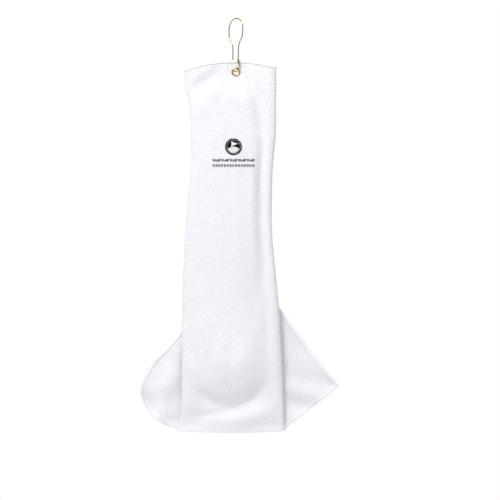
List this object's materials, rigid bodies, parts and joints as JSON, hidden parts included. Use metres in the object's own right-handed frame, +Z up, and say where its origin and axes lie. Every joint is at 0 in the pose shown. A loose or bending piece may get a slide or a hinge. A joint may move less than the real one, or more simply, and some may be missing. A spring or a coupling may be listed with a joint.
{
  "type": "golf towel",
  "caption": "White terry golf towel folded in three along its length, with a round brass grommet near the top edge and a sprung wire bulb hook through it.",
  "frame": {"origin": "where the bag's ring bears on the inside of the top of the hook's bulb", "axes": "+Z up, against gravity; the front of the towel faces -Y; +X to the right as seen from the front"},
  "size_m": [0.339, 0.0718, 0.7037],
  "materials": {
    "terry_cloth": "velour pile",
    "hem_thread": "spun thread",
    "dark_thread": "satin stitch",
    "pale_brass": "polished",
    "brass_wire": "polished"
  },
  "bodies": {
    "hook": {"hook_wire": "brass_wire"},
    "latch": {"latch_leg": "brass_wire"},
    "grommet": {"grommet_eyelet": "pale_brass", "grommet_washer": "pale_brass"},
    "towel": {"front_panel": "terry_cloth", "left_fold": "terry_cloth", "right_fold": "terry_cloth", "top_hem_stitching": "hem_thread", "bottom_hem_stitching": "hem_thread", "emblem_patch": "dark_thread", "emblem_bars": "dark_thread"}
  },
  "joints": [
    {"name": "latch_open", "type": "hinge", "parent": "hook", "child": "latch", "pos_m": [0, 0, 0.00085], "axis": [-0.6428, 0.766, 0], "range_deg": [0, 14], "stiffness_Nm_per_rad": 0.6, "springref_deg": -1.72},
    {"name": "towel_swing", "type": "hinge", "parent": "hook", "child": "grommet", "pos_m": [0, 0, -0.0899], "axis": [1, 0, 0], "range_deg": [-5, 5]},
    {"name": "towel_sway", "type": "hinge", "parent": "grommet", "child": "towel", "pos_m": [0, 0, -0.0903], "axis": [0, 1, 0], "range_deg": [-45, 45]}
  ]
}
